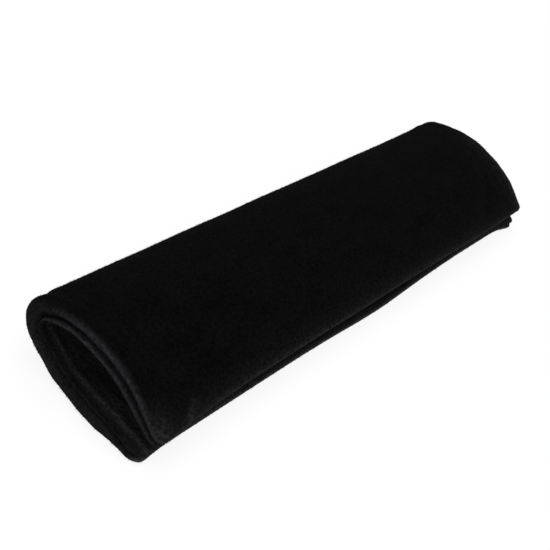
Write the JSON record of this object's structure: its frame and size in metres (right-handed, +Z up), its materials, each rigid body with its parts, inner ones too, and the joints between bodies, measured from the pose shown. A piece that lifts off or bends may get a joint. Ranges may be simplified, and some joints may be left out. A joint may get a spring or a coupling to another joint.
{
  "type": "seat belt shoulder pad",
  "caption": "Plush seat belt shoulder pad: a foam-filled panel folded lengthwise into a soft open-ended sleeve, closed along its front edge with hook and loop tape.",
  "frame": {"origin": "on the surface that the pad lies on, under the middle of its bounding box", "axes": "+X along the belt, +Y from the closed front edge towards the fold, +Z up from the flat lower wall"},
  "size_m": [0.247, 0.0598, 0.0287],
  "materials": {
    "outer_plush": "short cut pile, black, soft sheen at grazing angles",
    "lining_plush": "short cut pile, black",
    "foam": "open-cell polyurethane foam, matt",
    "hook_tape": "woven nylon with stiff hooks, satin",
    "loop_tape": "brushed nylon loops, matt"
  },
  "bodies": {
    "root": {"outer_cover": "outer_plush", "inner_lining": "lining_plush", "foam_core": "foam", "hook_tape": "hook_tape", "loop_tape": "loop_tape"}
  },
  "joints": []
}
